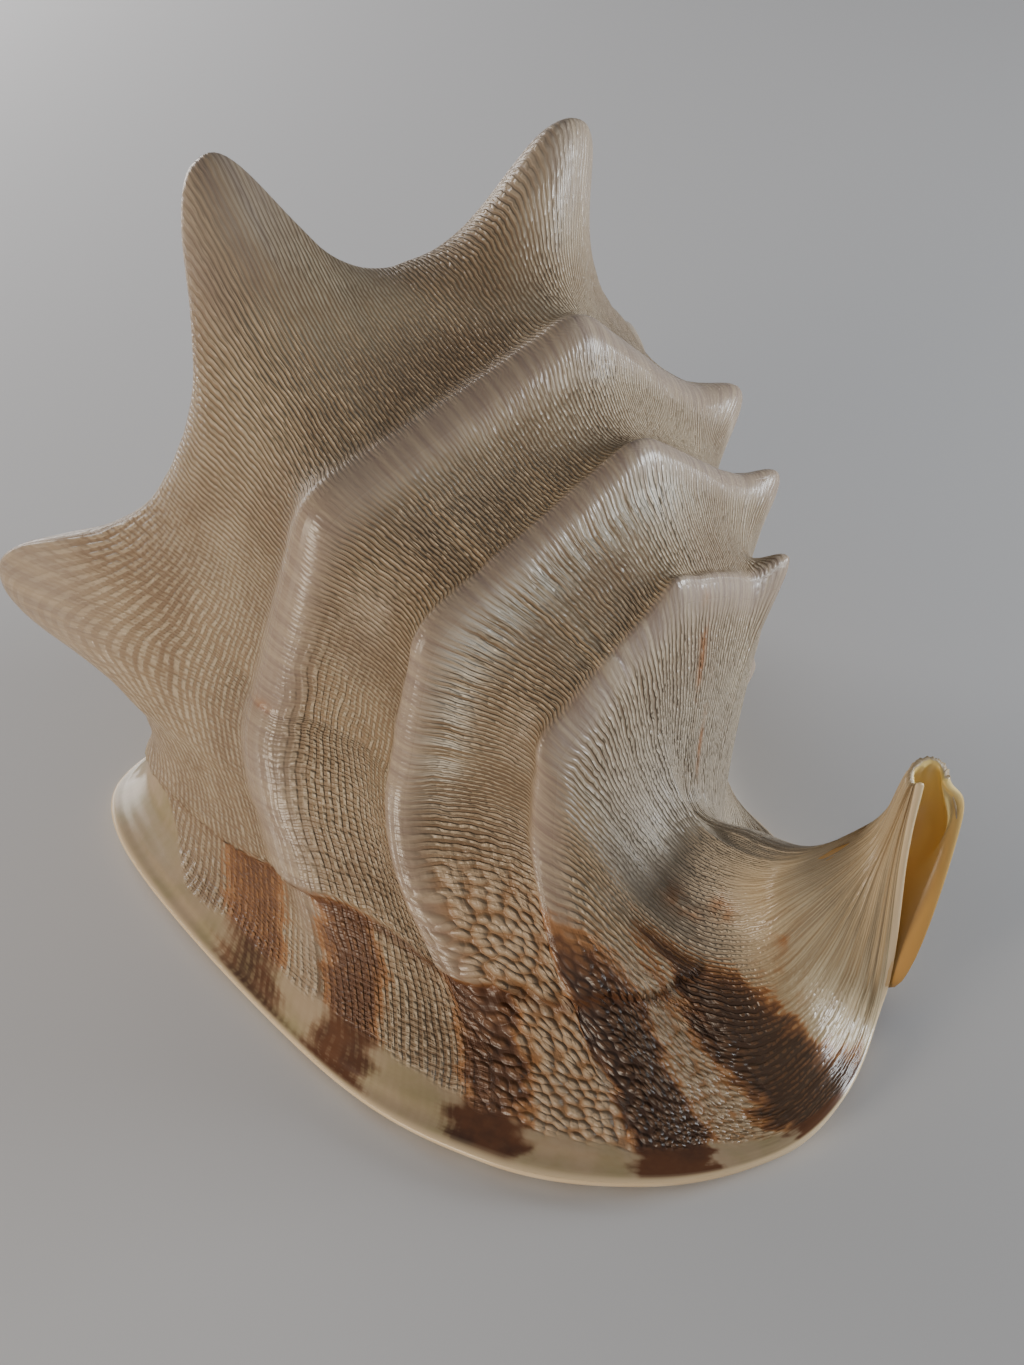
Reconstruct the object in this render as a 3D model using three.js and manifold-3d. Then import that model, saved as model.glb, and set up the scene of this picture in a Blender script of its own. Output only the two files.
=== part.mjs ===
// A horned helmet shell: one grown shell resting on its mouth side.
// Millimetres, +Z up. +X is the siphonal canal end and -Y the outer lip side.
// The body whorl grows on a logarithmic spiral around a nearly level coil axis.
import * as THREE from "three";
import { ParametricGeometry } from "three/addons/geometries/ParametricGeometry.js";
import { mergeGeometries, mergeVertices } from "three/addons/utils/BufferGeometryUtils.js";
import Module from "manifold-3d";

// Where the reference point, the bottom centre of the shell, lies in the coil's own frame.
const CENTRE = new THREE.Vector3(10.25, -22.5, 0);

// Coil. Growth angles are degrees round the axis: 0 is the back, 90 the outer lip side.
const AXIS_HEIGHT = 65;
const AXIS_TILT = 7;
const GROWTH_PER_RADIAN = 0.09;
const APEX_AXIAL = -44.5;
const PLAIN_FROM = -118;
const PLAIN_TO = 84;
const SHIELD_EDGE_ANGLE = -180;
const LIP_EDGE_ANGLE = 150;

// Sections of the whorl from the spire to the canal tip.
// axial and radius: a line on the coil at the back; arch: centre, half width and height;
// tilt: how far its top leans towards the spire, in degrees.
// lip and shield: where the section meets the two edges; flare and spread: how roundly.
const SECTIONS = [
  { axial: -78, radius: 28, lip: [-66, -26, 30], shield: [-66, 12, 30], flare: [14, 14], spread: [14, 14] },
  { axial: -74, radius: 48, lip: [-95, -98, 5], shield: [-70, 52, 4], flare: [40, 30], spread: [24, 24] },
  { axial: -69, radius: 80, lip: [-66, -129, 5], shield: [-58, 80, 4], flare: [130, 50], spread: [30, 25] },
  { axial: -17, radius: 70, lip: [47, -125, 5], shield: [-14, 62, 4], flare: [15, 23], spread: [30, 22] },
  { axial: 21, radius: 59, lip: [104, -106, 5], shield: [18, 40, 4], flare: [42, 76], spread: [28, 18] },
  { axial: 52, radius: 43, lip: [136, -77, 5], shield: [40, 30, 4], flare: [67, 44], spread: [24, 14] },
  { arch: [65, -8, 20, 15, 27], lip: [150, -46, 5], shield: [60, 27, 5], flare: [66, 40], spread: [10, 8],
    plainTo: 14 },
  { arch: [90, -6, 21, 16, 28], lip: [148, -20, 6], shield: [92, 25, 8], flare: [36, 30], spread: [10, 8],
    plainTo: 18 },
  { arch: [110, -1, 35.5, 14, 21.5], lip: [132, 7, 8], shield: [131, 14, 12], flare: [16, 14],
    spread: [14, 10], plainTo: 35 },
  { arch: [121, 25, 52, 11.5, 10], tilt: 65, lip: [127, 17, 55], shield: [127, 38, 56], flare: [6, 5],
    spread: [6, 5] },
  { arch: [124, 28, 77, 6.5, 5], tilt: 55, lip: [125.5, 22.5, 78.5], shield: [127, 33, 75.5], flare: [3, 2],
    spread: [3, 2] },
];
const FIRST_STATION = -2;
const LAST_STATION = FIRST_STATION + SECTIONS.length - 1;
const CANAL_STATION = 5;

// Shoulder horns, from the one beside the lip round to the far side.
const HORN_PITCH = 57;
const FIRST_HORN_ANGLE = 90;
const HORNS = [
  { height: 65, back: 60, aside: 19 },
  { height: 62, back: 48, aside: -40 },
  { height: 47, back: 5, aside: -8 },
  { height: 24, back: 50, aside: 0 },
];
const HORN_WIDTH = 10.5;
const HORN_FRONT = 0.42;
const HORN_REAR = 0.38;
const HORN_ROUNDNESS = 1.25;

// Spiral ridges below the shoulder: the first, second and third.
const RIDGES = [
  { station: 1, skew: 12, cord: 4, swell: 15, knob: 4 },
  { station: 2, skew: 16, cord: 4, swell: 14, knob: 3 },
  { station: 3, skew: 24, cord: 4, swell: 5, knob: 4 },
];
const CORD_WIDTH = 0.14;
const SWELL_LENGTH = 0.45;
const SWELL_WIDTH = 23.5;
const KNOB_SIZES = [1, 1, 2.7, 2];
const KNOB_SHIFT = -0.07;
const KNOB_WIDTH = 7;
const KNOB_LENGTH = 0.2;

// Walls, rim and under side.
const WALL = 7;
const CANAL_WALL = 3.5;
const RIM_DROP = 3.5;
const RIM_INSET = 1.5;
const BAND = 9;
const GUTTER_INSET = 6;
const CUT_BELOW = 0.6;
const SMALLEST_EDGE = 0.08;

// The hollow: station on the outer wall, and where that wall meets the mouth opening.
const CAVITY_FROM = -10;
const CAVITY_TURN = 60;
const CAVITY_BELOW = 5;
const CAVITY_OUTER_PULL = 45;
const CAVITY_INNER_PULL = 30;
const CAVITY_OUTER = [
  { station: -0.6, mouth: [-66, -88] },
  { station: 0, mouth: [-48, -91] },
  { station: 0.5, mouth: [-14, -92] },
  { station: 1, mouth: [22, -90] },
  { station: 1.5, mouth: [52, -83] },
  { station: 2, mouth: [80, -72] },
  { station: 2.4, mouth: [100, -58] },
  { station: 2.7, mouth: [111, -44] },
];
const CAVITY_INNER = [
  { axial: 30, radius: 9, mouth: [106, -30] },
  { axial: 16, radius: 15, mouth: [86, -34] },
  { axial: 0, radius: 24, mouth: [58, -44] },
  { axial: -18, radius: 30, mouth: [24, -57] },
  { axial: -36, radius: 35, mouth: [-14, -68] },
  { axial: -52, radius: 39, mouth: [-44, -77] },
  { axial: -62, radius: 46, mouth: [-62, -82] },
];

// Teeth along both sides of the mouth: half length, half width, half height.
const LIP_TEETH = { count: 7, size: [9, 3, 5], from: 0.22, to: 0.92 };
const COLUMELLA_FOLDS = { count: 8, size: [9, 2, 4], from: 0.06, to: 0.62 };
const TOOTH_HEIGHT = 3;

// Spire: a low cone of earlier whorls.
const SPIRE_BASE = { axial: -66, radius: 46 };
const SPIRE_SHOULDER = -74;
const SPIRE_TOP = -98;
const SPIRE_RELIEF = 1.6;
const SPIRE_KNOB = 2.2;

// How finely the surfaces are stepped, and how far apart two points are for a direction.
// Station steps: where the horns rise, along the body and along the canal.
const HORN_STEP = { within: 0.35, step: 0.1 };
const BODY_STEP = 0.2;
const CANAL_STEP = { from: 3.9, step: 0.25 };
const COLUMNS = 50;
const UNDER_STEPS = 8;
const LOOP = COLUMNS + UNDER_STEPS + 2;
const SMALL_ANGLE = 2;
const SMALL_STATION = 0.05;
const CAVITY_COIL_STEPS = 5;
const CAVITY_MOUTH_STEPS = 5;
const SPIRE_COLUMNS = 36;
const SPIRE_RINGS = 9;

const AXIS = new THREE.Vector3(1, 0, 0).applyAxisAngle(new THREE.Vector3(0, 1, 0), rad(AXIS_TILT));
const DORSAL = new THREE.Vector3(0, 0, 1).applyAxisAngle(new THREE.Vector3(0, 1, 0), rad(AXIS_TILT));
const LIPWARD = new THREE.Vector3(0, -1, 0);
const UP = new THREE.Vector3(0, 0, 1);

function rad(degrees) {
  return THREE.MathUtils.degToRad(degrees);
}

// Direction from the coil axis out to the whorl at a growth angle.
function outward(angle) {
  return DORSAL.clone().multiplyScalar(Math.cos(rad(angle))).addScaledVector(LIPWARD, Math.sin(rad(angle)));
}

function coilPoint(angle, axial, radius) {
  const growth = Math.exp(GROWTH_PER_RADIAN * rad(angle));
  return new THREE.Vector3(0, 0, AXIS_HEIGHT)
    .addScaledVector(AXIS, APEX_AXIAL + growth * (axial - APEX_AXIAL))
    .addScaledVector(outward(angle), growth * radius);
}

function archPoint(angle, [x, y, z, halfWidth, height], tilt = 0) {
  const top = new THREE.Vector3(-Math.sin(rad(tilt)), 0, Math.cos(rad(tilt)));
  return new THREE.Vector3(x, y, z)
    .addScaledVector(LIPWARD, halfWidth * Math.sin(rad(angle)))
    .addScaledVector(top, height * Math.cos(rad(angle)));
}

function plainPoint(section, angle) {
  if (section.arch) return archPoint(angle, section.arch, section.tilt);
  return coilPoint(angle, section.axial, section.radius);
}

function hermite(t, start, startPull, end, endPull) {
  const point = start.clone().multiplyScalar(2 * t ** 3 - 3 * t ** 2 + 1);
  point.addScaledVector(startPull, t ** 3 - 2 * t ** 2 + t);
  point.addScaledVector(end, -2 * t ** 3 + 3 * t ** 2);
  return point.addScaledVector(endPull, t ** 3 - t ** 2);
}

// Unit direction from an edge point in towards the body, square to the edge.
function inwardFrom(edge, index, bodyPoint) {
  const at = (i) => new THREE.Vector3(...SECTIONS[THREE.MathUtils.clamp(i, 0, SECTIONS.length - 1)][edge]);
  const along = at(index + 1).sub(at(index - 1)).normalize();
  const inward = bodyPoint.clone().sub(at(index));
  inward.addScaledVector(along, -inward.dot(along));
  if (index + FIRST_STATION < CANAL_STATION) inward.z = 0;
  return inward.normalize();
}

function ringPoint(index, angle) {
  const section = SECTIONS[index];
  const plainTo = section.plainTo ?? PLAIN_TO;
  if (angle >= PLAIN_FROM && angle <= plainTo) return plainPoint(section, angle);
  const lipSide = angle > plainTo;
  const edge = lipSide ? "lip" : "shield";
  const base = lipSide ? plainTo : PLAIN_FROM;
  const end = lipSide ? LIP_EDGE_ANGLE : SHIELD_EDGE_ANGLE;
  const [bodyPull, edgePull] = lipSide ? section.flare : section.spread;
  const start = plainPoint(section, base);
  const before = plainPoint(section, base - (lipSide ? SMALL_ANGLE : -SMALL_ANGLE));
  const startPull = start.clone().sub(before).normalize().multiplyScalar(bodyPull);
  const endPull = inwardFrom(edge, index, start).multiplyScalar(-edgePull);
  const edgePoint = new THREE.Vector3(...section[edge]);
  return hermite((angle - base) / (end - base), start, startPull, edgePoint, endPull);
}

// Smooth curve through the rings: station counts sections from the suture.
function throughSections(station, pointOf) {
  const last = SECTIONS.length - 1;
  const place = THREE.MathUtils.clamp(station - FIRST_STATION, 0, last);
  const index = Math.min(Math.floor(place), last - 1);
  const t = place - index;
  const [p1, p2] = [pointOf(index), pointOf(index + 1)];
  const p0 = index > 0 ? pointOf(index - 1) : p1.clone().multiplyScalar(2).sub(p2);
  const p3 = index < last - 1 ? pointOf(index + 2) : p2.clone().multiplyScalar(2).sub(p1);
  const blend = (a, b, c, d) => 0.5 * (2 * b + (c - a) * t + (2 * a - 5 * b + 4 * c - d) * t * t
    + (3 * b - a - 3 * c + d) * t ** 3);
  return new THREE.Vector3(
    blend(p0.x, p1.x, p2.x, p3.x),
    blend(p0.y, p1.y, p2.y, p3.y),
    blend(p0.z, p1.z, p2.z, p3.z),
  );
}

const clamp01 = (value) => THREE.MathUtils.clamp(value, 0, 1);

// Horns, ridges and knobs die out towards the lip and the shield.
function reliefStrength(angle) {
  const near = clamp01(1.4 * (angle - PLAIN_TO - 6) / (LIP_EDGE_ANGLE - PLAIN_TO - 6));
  const far = clamp01(1.5 * (PLAIN_FROM - angle) / (PLAIN_FROM - SHIELD_EDGE_ANGLE));
  return (1 - near * near) * (1 - far);
}

function addHorns(point, angle, station, strength) {
  const lean = RIDGES[0].skew * clamp01(station);
  const along = station / (station > 0 ? HORN_FRONT : HORN_REAR);
  const fade = strength * clamp01((1.2 - station) / 0.9);
  HORNS.forEach(({ height, back, aside }, number) => {
    const round = (angle - FIRST_HORN_ANGLE + number * HORN_PITCH - lean) / HORN_WIDTH;
    const size = fade * height / (1 + (round * round + along * along) ** HORN_ROUNDNESS);
    point.addScaledVector(outward(angle), size * Math.cos(rad(back)) * Math.cos(rad(aside)));
    point.addScaledVector(outward(angle + 90), size * Math.cos(rad(back)) * Math.sin(rad(aside)));
    point.addScaledVector(AXIS, -size * Math.sin(rad(back)));
  });
}

function addRidges(point, angle, station, strength) {
  for (const { station: ridgeStation, skew, cord, swell, knob } of RIDGES) {
    const across = station - ridgeStation;
    let swelling = -0.5;
    let knobs = 0;
    for (let number = -1; number <= 4; number += 1) {
      const away = angle - (FIRST_HORN_ANGLE - number * HORN_PITCH + skew);
      swelling += 1 / (1 + (away / SWELL_WIDTH) ** 2);
      if (number > 0) knobs += KNOB_SIZES[number - 1] * Math.exp(-((away / KNOB_WIDTH) ** 2));
    }
    const round = swell * swelling * Math.exp(-((across / SWELL_LENGTH) ** 2));
    const raised = cord * Math.exp(-((across / CORD_WIDTH) ** 4));
    const sharp = knob * knobs * Math.exp(-(((across - KNOB_SHIFT) / KNOB_LENGTH) ** 2));
    point.addScaledVector(outward(angle), strength * (round + raised + sharp));
  }
}

// A point on the outside of the shell.
function outerPoint(angle, station) {
  const point = throughSections(station, (index) => ringPoint(index, angle));
  const strength = reliefStrength(angle);
  addHorns(point, angle, station, strength);
  addRidges(point, angle, station, strength);
  return point;
}

// The plain surface moved inwards by the wall, away from horns and ridges.
function innerPoint(angle, station, wall) {
  const at = (a, v) => throughSections(v, (index) => ringPoint(index, a));
  const round = at(angle + SMALL_ANGLE, station).sub(at(angle - SMALL_ANGLE, station));
  const along = at(angle, station + SMALL_STATION).sub(at(angle, station - SMALL_STATION));
  return at(angle, station).addScaledVector(round.cross(along).normalize(), -wall);
}

// The under side runs from the lip edge to the shield edge: flat below the body, then
// a gutter that follows the inside of the canal.
function flatUnderPoint(index, fraction) {
  const section = SECTIONS[index];
  const lip = new THREE.Vector3(...section.lip);
  const shield = new THREE.Vector3(...section.shield);
  const lipInward = inwardFrom("lip", index, plainPoint(section, PLAIN_TO));
  const shieldInward = inwardFrom("shield", index, plainPoint(section, PLAIN_FROM));
  if (fraction === 0) return lip.addScaledVector(lipInward, RIM_INSET).addScaledVector(UP, -RIM_DROP);
  if (fraction === 1) return shield.addScaledVector(shieldInward, RIM_INSET).addScaledVector(UP, -RIM_DROP);
  const height = index === 0 ? section.lip[2] - RIM_DROP : -CUT_BELOW;
  const lipBand = lip.addScaledVector(lipInward, BAND).setZ(height);
  const shieldBand = shield.addScaledVector(shieldInward, BAND).setZ(height);
  return lipBand.lerp(shieldBand, (fraction * UNDER_STEPS - 1) / (UNDER_STEPS - 2));
}

function underSurface(step, station) {
  const fraction = step / UNDER_STEPS;
  const [from, to] = [LIP_EDGE_ANGLE - GUTTER_INSET, SHIELD_EDGE_ANGLE + GUTTER_INSET];
  const angle = THREE.MathUtils.lerp(from, to, fraction);
  const gutter = innerPoint(angle, station, CANAL_WALL);
  const flat = throughSections(station, (index) => flatUnderPoint(index, fraction));
  return flat.lerp(gutter, THREE.MathUtils.smoothstep(station, CANAL_STATION - 1, CANAL_STATION));
}

// Growth angle of a column: columns stand closer together on the horns.
function columnAngle(column) {
  const even = THREE.MathUtils.lerp(SHIELD_EDGE_ANGLE, LIP_EDGE_ANGLE, column / COLUMNS);
  const edge = Math.min(even - SHIELD_EDGE_ANGLE, LIP_EDGE_ANGLE - even, 20) / 20;
  return even - 5 * edge * Math.sin(2 * Math.PI * (even - FIRST_HORN_ANGLE) / HORN_PITCH);
}

// Once round the shell at one station: the outside, then the under side back to the start.
function loopPoint(column, station) {
  if (column > COLUMNS) return underSurface(column - COLUMNS - 1, station);
  return outerPoint(columnAngle(column), station);
}

const wasm = await Module();
wasm.setup();

// Geometry as a manifold-3d solid, with shared corners merged and empty triangles left out.
function solidFrom(geometry) {
  const bare = new THREE.BufferGeometry().setAttribute("position", geometry.getAttribute("position"));
  bare.setIndex(geometry.index);
  const merged = mergeVertices(bare, 1e-3);
  const corners = merged.index.array;
  const triangles = [];
  for (let i = 0; i < corners.length; i += 3) {
    const [a, b, c] = [corners[i], corners[i + 1], corners[i + 2]];
    if (a !== b && b !== c && c !== a) triangles.push(a, b, c);
  }
  return new wasm.Manifold(new wasm.Mesh({
    numProp: 3,
    vertProperties: merged.attributes.position.array,
    triVerts: new Uint32Array(triangles),
  }));
}

function geometryFrom(solid) {
  const mesh = solid.getMesh();
  const geometry = new THREE.BufferGeometry();
  geometry.setAttribute("position", new THREE.BufferAttribute(mesh.vertProperties, 3));
  geometry.setIndex(new THREE.BufferAttribute(mesh.triVerts, 1));
  geometry.computeVertexNormals();
  return geometry;
}

// A cap over one ring of points, zipped between its first half and the rest of it.
function capGeometry(ring, split, reversed) {
  const first = ring.slice(0, split + 1);
  const second = ring.slice(split + 1).reverse();
  const [firstEnd, secondEnd] = [first.length - 1, second.length - 1];
  const corners = [];
  let [i, j] = [0, 0];
  while (i < firstEnd || j < secondEnd) {
    const firstBehind = j === secondEnd || (i + 1) * secondEnd <= (j + 1) * firstEnd;
    const onFirst = firstBehind && i < firstEnd;
    const triangle = onFirst ? [first[i], first[i + 1], second[j]] : [first[i], second[j + 1], second[j]];
    corners.push(...(reversed ? triangle.reverse() : triangle));
    if (onFirst) i += 1;
    else j += 1;
  }
  return new THREE.BufferGeometry().setFromPoints(corners);
}

// A tube of rings with a cap at each end. split is the last column of a ring's first half.
function closedTube(columns, rings, split, pointAt) {
  const side = new ParametricGeometry((u, v, target) => {
    target.copy(pointAt(Math.round(u * columns) % columns, Math.round(v * rings)));
  }, columns, rings).toNonIndexed();
  side.deleteAttribute("normal");
  side.deleteAttribute("uv");
  const ringOf = (ring) => Array.from({ length: columns }, (_, column) => pointAt(column, ring));
  const caps = [capGeometry(ringOf(0), split, true), capGeometry(ringOf(rings), split, false)];
  return solidFrom(mergeGeometries([side, ...caps]));
}

function stationStep(station) {
  if (station > CANAL_STEP.from) return CANAL_STEP.step;
  return Math.abs(station) < HORN_STEP.within ? HORN_STEP.step : BODY_STEP;
}

function bodyStations() {
  const stations = [];
  for (let station = FIRST_STATION; station < LAST_STATION + SMALL_STATION; station += stationStep(station)) {
    stations.push(Math.round(station * 100) / 100);
  }
  return stations;
}

function shellBody() {
  const stations = bodyStations();
  return closedTube(LOOP, stations.length - 1, COLUMNS, (column, ring) => loopPoint(column, stations[ring]));
}

// One wall line of the hollow: along the coil, then curving down through the mouth.
function cavityLine(plainAt, mouth, pull) {
  const start = plainAt(CAVITY_TURN);
  const startPull = start.clone().sub(plainAt(CAVITY_TURN - SMALL_ANGLE)).setLength(pull);
  const end = new THREE.Vector3(mouth[0], mouth[1], 0);
  const endPull = new THREE.Vector3(0, 0, -pull);
  return (ring) => {
    if (ring <= CAVITY_COIL_STEPS) {
      return plainAt(THREE.MathUtils.lerp(CAVITY_FROM, CAVITY_TURN, ring / CAVITY_COIL_STEPS));
    }
    const t = (ring - CAVITY_COIL_STEPS) / CAVITY_MOUTH_STEPS;
    return t <= 1 ? hermite(t, start, startPull, end, endPull) : end.clone().setZ(-CAVITY_BELOW);
  };
}

function cavity() {
  const lines = [
    ...CAVITY_OUTER.map(({ station, mouth }) =>
      cavityLine((angle) => innerPoint(angle, station, WALL), mouth, CAVITY_OUTER_PULL)),
    ...CAVITY_INNER.map(({ axial, radius, mouth }) =>
      cavityLine((angle) => coilPoint(angle, axial, radius), mouth, CAVITY_INNER_PULL)),
  ];
  const rings = CAVITY_COIL_STEPS + CAVITY_MOUTH_STEPS + 1;
  lines.reverse();
  return closedTube(lines.length, rings, CAVITY_INNER.length - 1, (column, ring) => lines[column](ring));
}

// The low cone of earlier whorls, with a groove along each suture and small shoulder knobs.
function spire() {
  const whorl = GROWTH_PER_RADIAN * 2 * Math.PI;
  return closedTube(SPIRE_COLUMNS, SPIRE_RINGS, SPIRE_COLUMNS / 2 - 1, (column, ring) => {
    const angle = 180 - 360 * column / SPIRE_COLUMNS;
    const growth = Math.exp(GROWTH_PER_RADIAN * rad(angle));
    if (ring === 0) return spirePoint(angle, SPIRE_BASE.radius, SPIRE_BASE.axial);
    const radius = SPIRE_BASE.radius * (1 - (ring - 1) / SPIRE_RINGS);
    const phase = Math.log(radius / (SPIRE_BASE.radius * growth)) / whorl;
    const knobs = SPIRE_KNOB * Math.cos(rad(6 * angle)) ** 2 * Math.sin(Math.PI * phase) ** 2;
    const relief = (SPIRE_RELIEF * Math.cos(2 * Math.PI * phase) - knobs) * radius / SPIRE_BASE.radius;
    const axial = THREE.MathUtils.lerp(SPIRE_TOP, SPIRE_SHOULDER, radius / SPIRE_BASE.radius);
    return spirePoint(angle, radius, axial + relief);
  });
}

function spirePoint(angle, radius, axial) {
  return new THREE.Vector3(0, 0, AXIS_HEIGHT)
    .addScaledVector(AXIS, axial)
    .addScaledVector(outward(angle), radius);
}

// Rounded teeth standing square to one side of the mouth.
function teethAlong(side, { count, size, from, to }) {
  const roots = side.map(({ mouth }) => new THREE.Vector3(mouth[0], mouth[1], TOOTH_HEIGHT));
  const curve = new THREE.CatmullRomCurve3(roots);
  const teeth = [];
  for (let i = 0; i < count; i += 1) {
    const place = THREE.MathUtils.lerp(from, to, i / (count - 1));
    const tangent = curve.getTangentAt(place);
    const tooth = new THREE.SphereGeometry(1, 8, 6).scale(...size);
    tooth.rotateZ(Math.atan2(tangent.y, tangent.x) + Math.PI / 2);
    tooth.translate(...curve.getPointAt(place));
    teeth.push(solidFrom(tooth));
  }
  return teeth;
}

function wholeShell() {
  let solid = shellBody().add(spire()).subtract(cavity());
  for (const tooth of teethAlong(CAVITY_OUTER, LIP_TEETH)) solid = solid.add(tooth);
  for (const fold of teethAlong(CAVITY_INNER, COLUMELLA_FOLDS)) solid = solid.add(fold);
  const below = new THREE.BoxGeometry(600, 600, 40).translate(0, 0, -20);
  return solid.subtract(solidFrom(below)).asOriginal().simplify(SMALLEST_EDGE);
}

const shell = new THREE.Mesh(
  geometryFrom(wholeShell()),
  new THREE.MeshStandardMaterial({ color: 0xcabba6, roughness: 0.45, metalness: 0 }),
);
shell.name = "shell";
const object = new THREE.Group();
object.add(shell);
object.position.copy(CENTRE).negate();

export default object;
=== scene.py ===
"""Looks of a horned helmet shell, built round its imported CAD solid.

The outside, the rim, the flat mouth side, the hollow and the spire are one closed mesh,
worked out from the same coil that gives the CAD solid its shape. Lengths are millimetres
in the coil's own frame until the mesh is made, and metres from then on.
"""

import bpy
import numpy as np
from mathutils import Matrix, Vector

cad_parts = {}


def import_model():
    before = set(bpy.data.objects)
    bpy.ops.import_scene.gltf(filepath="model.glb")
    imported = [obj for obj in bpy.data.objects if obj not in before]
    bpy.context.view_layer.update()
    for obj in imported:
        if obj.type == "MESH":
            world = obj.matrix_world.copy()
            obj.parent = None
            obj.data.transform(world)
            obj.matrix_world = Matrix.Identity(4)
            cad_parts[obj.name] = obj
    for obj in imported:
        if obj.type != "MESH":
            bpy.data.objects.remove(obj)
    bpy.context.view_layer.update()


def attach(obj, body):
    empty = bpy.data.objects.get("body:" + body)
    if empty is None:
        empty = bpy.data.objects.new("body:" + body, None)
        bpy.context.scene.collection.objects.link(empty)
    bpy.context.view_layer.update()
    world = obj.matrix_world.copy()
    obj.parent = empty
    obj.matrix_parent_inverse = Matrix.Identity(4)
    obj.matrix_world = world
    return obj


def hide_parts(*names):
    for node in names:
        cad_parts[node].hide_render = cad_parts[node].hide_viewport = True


# ---------------------------------------------------------------- driving dimensions
CENTRE = np.array([10.25, -22.5, 0.0])
AXIS_HEIGHT = 65
AXIS_TILT = 7
GROWTH_PER_RADIAN = 0.09
APEX_AXIAL = -44.5
PLAIN_FROM = -118
PLAIN_TO = 84
SHIELD_EDGE_ANGLE = -180
LIP_EDGE_ANGLE = 150

# Sections of the whorl from the spire to the canal tip. axial and radius: a line on the coil.
# arch: centre, half width and height. lip and shield: the two edges. flare and spread: how roundly.
SECTIONS = [
    dict(axial=-78, radius=28, lip=(-66, -26, 30), shield=(-66, 12, 30), flare=(14, 14), spread=(14, 14)),
    dict(axial=-74, radius=48, lip=(-95, -98, 5), shield=(-70, 52, 4), flare=(40, 30), spread=(24, 24)),
    dict(axial=-69, radius=80, lip=(-66, -129, 5), shield=(-58, 80, 4), flare=(130, 50), spread=(30, 25)),
    dict(axial=-17, radius=70, lip=(47, -125, 5), shield=(-14, 62, 4), flare=(15, 23), spread=(30, 22)),
    dict(axial=21, radius=59, lip=(104, -106, 5), shield=(18, 40, 4), flare=(42, 76), spread=(28, 18)),
    dict(axial=52, radius=43, lip=(136, -77, 5), shield=(40, 30, 4), flare=(67, 44), spread=(24, 14)),
    dict(arch=(65, -8, 20, 15, 27), lip=(150, -46, 5), shield=(60, 27, 5), flare=(66, 40), spread=(10, 8),
         plain_to=14),
    dict(arch=(90, -6, 21, 16, 28), lip=(148, -20, 6), shield=(92, 25, 8), flare=(36, 30), spread=(10, 8),
         plain_to=18),
    dict(arch=(110, -1, 35.5, 14, 21.5), lip=(132, 7, 8), shield=(131, 14, 12), flare=(16, 14),
         spread=(14, 10), plain_to=35),
    dict(arch=(121, 25, 52, 11.5, 10), tilt=65, lip=(127, 17, 55), shield=(127, 38, 56), flare=(6, 5),
         spread=(6, 5)),
    dict(arch=(124, 28, 77, 6.5, 5), tilt=55, lip=(125.5, 22.5, 78.5), shield=(127, 33, 75.5), flare=(3, 2),
         spread=(3, 2)),
]
FIRST_STATION = -2
LAST_STATION = FIRST_STATION + len(SECTIONS) - 1
CANAL_STATION = 5

# Shoulder horns: height, lean to the spire and lean round the whorl, in degrees.
HORN_PITCH = 57
FIRST_HORN_ANGLE = 90
HORNS = [(65, 60, 19), (62, 48, -40), (47, 5, -8), (24, 50, 0)]
HORN_WIDTH = 10.5
HORN_FRONT = 0.42
HORN_REAR = 0.38
HORN_ROUNDNESS = 1.25

# Spiral ridges: station, skew of the knobs, cord, swell between knobs and knob height.
RIDGES = [(1, 12, 4, 15, 4), (2, 16, 4, 14, 3), (3, 24, 4, 5, 4)]
CORD_WIDTH = 0.14
CORD_FADE = 0.75
FAR_SHORTER = 0.13
SWELL_LENGTH = 0.45
SWELL_WIDTH = 23.5
KNOB_SIZES = (1, 1, 2.7, 2)
KNOB_SHIFT = -0.07
KNOB_WIDTH = 7
KNOB_LENGTH = 0.2

WALL = 7
CANAL_WALL = 3.5
RIM_DROP = 3.5
RIM_INSET = 1.5
RIM_BULGE = 1.2
BAND = 9
GUTTER_INSET = 6

SMALL_ANGLE = 2
SMALL_STATION = 0.05


def radians(degrees):
    return np.radians(np.asarray(degrees, float))


AXIS = np.array([np.cos(radians(AXIS_TILT)), 0, -np.sin(radians(AXIS_TILT))])
DORSAL = np.array([np.sin(radians(AXIS_TILT)), 0, np.cos(radians(AXIS_TILT))])
LIPWARD = np.array([0.0, -1.0, 0.0])
UP = np.array([0.0, 0.0, 1.0])


def unit(vectors):
    return vectors / np.maximum(np.linalg.norm(vectors, axis=-1, keepdims=True), 1e-9)


def smooth_step(low, high, values):
    t = np.clip((values - low) / (high - low), 0, 1)
    return t * t * (3 - 2 * t)


def bell(distance, width):
    return np.exp(-((distance / width) ** 2))


def outward(angle):
    """Direction from the coil axis out to the whorl at a growth angle."""
    turn = radians(angle)[..., None]
    return np.cos(turn) * DORSAL + np.sin(turn) * LIPWARD


def coil_point(angle, axial, radius):
    growth = np.exp(GROWTH_PER_RADIAN * radians(angle))
    along = APEX_AXIAL + growth * (axial - APEX_AXIAL)
    return AXIS_HEIGHT * UP + along[..., None] * AXIS + (growth * radius)[..., None] * outward(angle)


def arch_point(angle, arch, tilt):
    x, y, z, half_width, height = arch
    turn = radians(angle)[..., None]
    top = np.array([-np.sin(radians(tilt)), 0, np.cos(radians(tilt))])
    return np.array([x, y, z]) + half_width * np.sin(turn) * LIPWARD + height * np.cos(turn) * top


def plain_point(section, angle):
    angle = np.asarray(angle, float)
    if "arch" in section:
        return arch_point(angle, section["arch"], section.get("tilt", 0))
    return coil_point(angle, section["axial"], section["radius"])


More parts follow.
